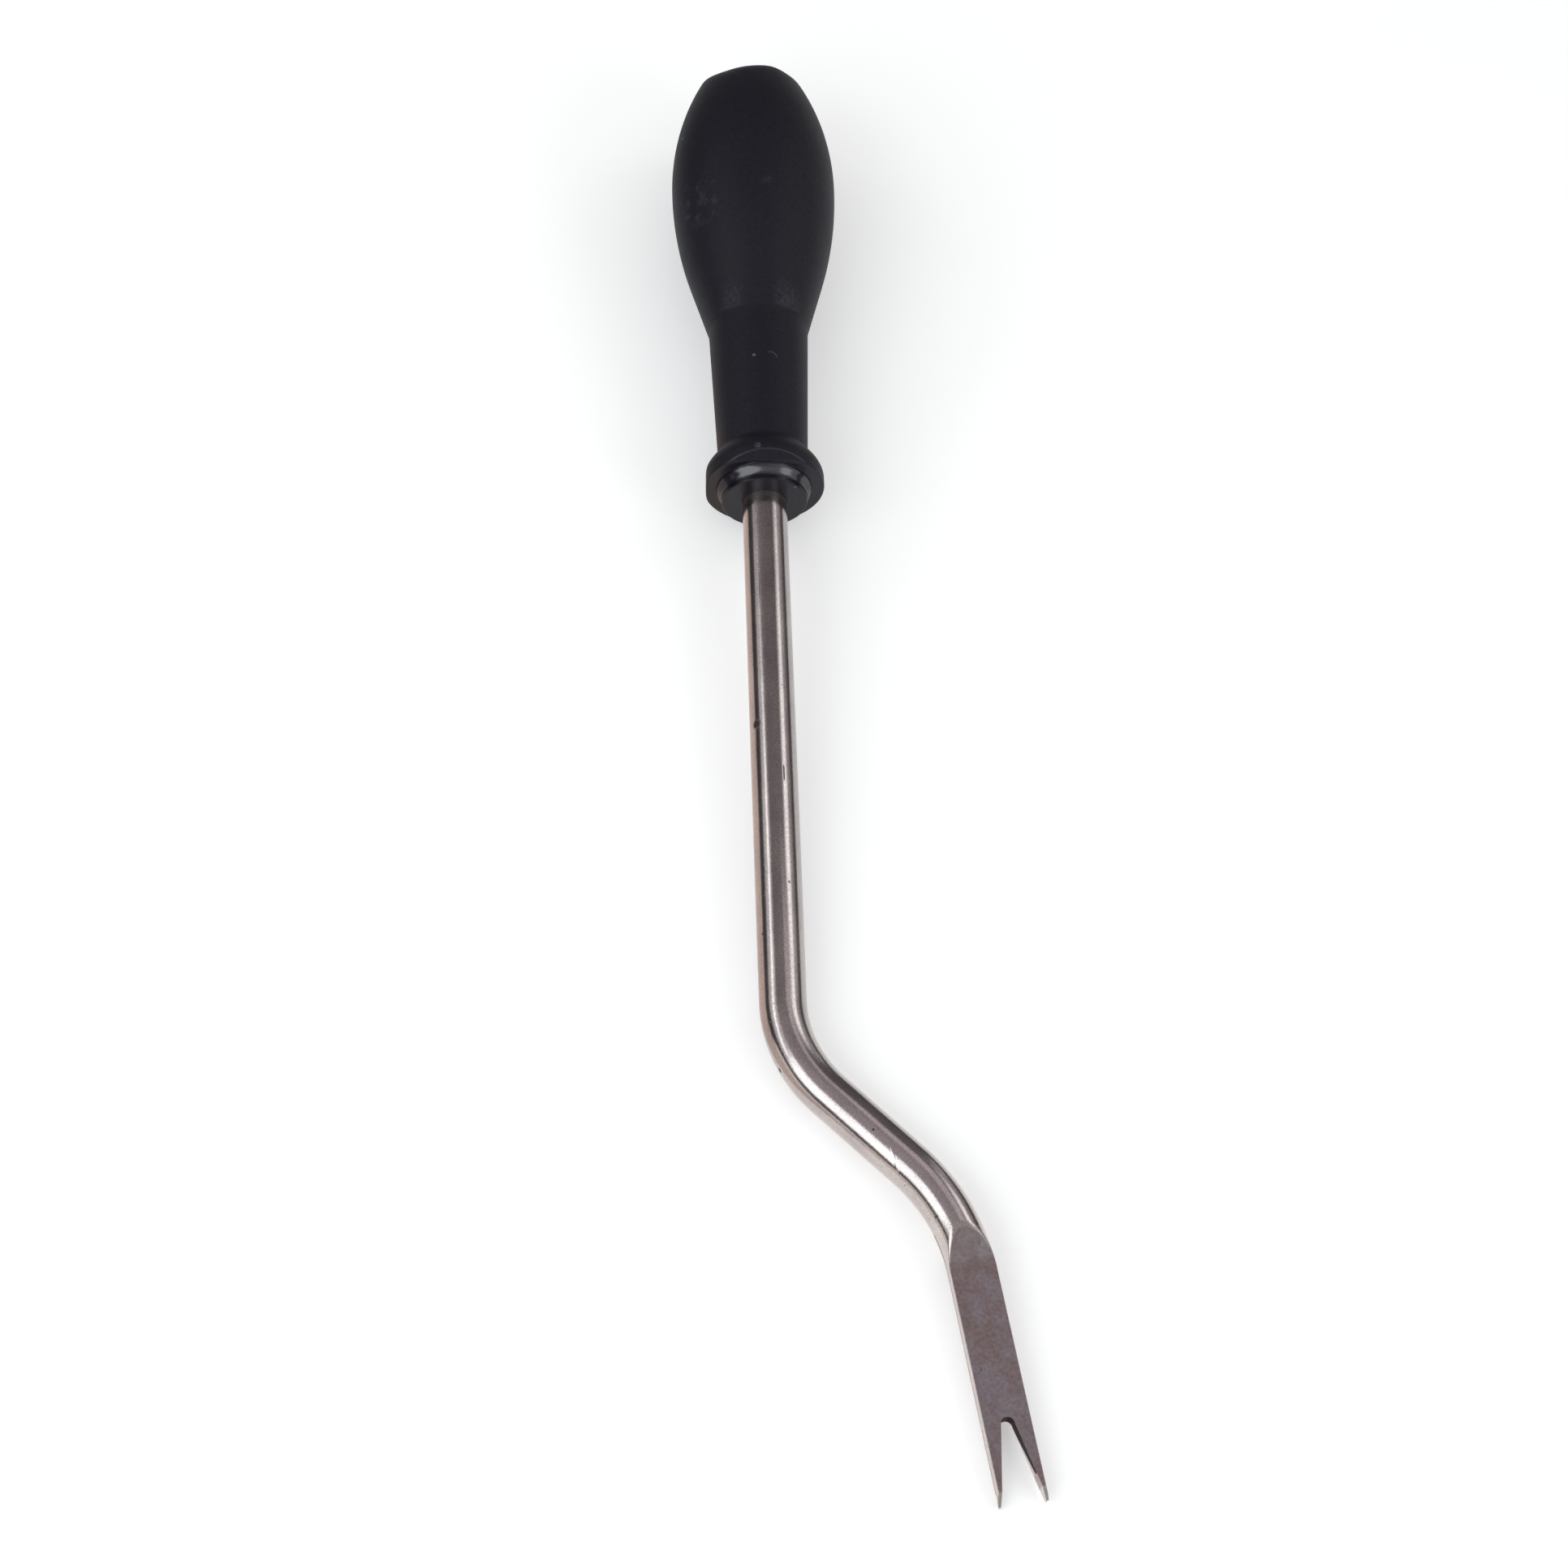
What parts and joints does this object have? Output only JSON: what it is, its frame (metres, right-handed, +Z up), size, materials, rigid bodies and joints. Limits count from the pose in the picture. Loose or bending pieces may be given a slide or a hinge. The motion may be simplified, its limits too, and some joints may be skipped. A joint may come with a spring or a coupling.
{
  "type": "ceiling handle removal tool",
  "caption": "Trim tool with a moulded pear-shaped grip on a cranked round steel bar whose flattened end is forked with a V notch, for prising off ceiling grab handle covers and clips.",
  "frame": {"origin": "middle of the tool's outline on the ground, as it lies at rest on its bulb and on the underside of its bar", "axes": "+Z up; +Y along the grip from the fork towards the butt, the grip's axis falling 3.7 degrees towards the fork; the crank is bent towards +X, its plane raised 4.5 degrees on that side"},
  "size_m": [0.0536, 0.2794, 0.031],
  "materials": {
    "grip_plastic": "satin black moulded plastic",
    "plated_steel": "dull plated steel"
  },
  "bodies": {
    "root": {"handle": "grip_plastic", "shaft": "plated_steel"}
  },
  "joints": []
}
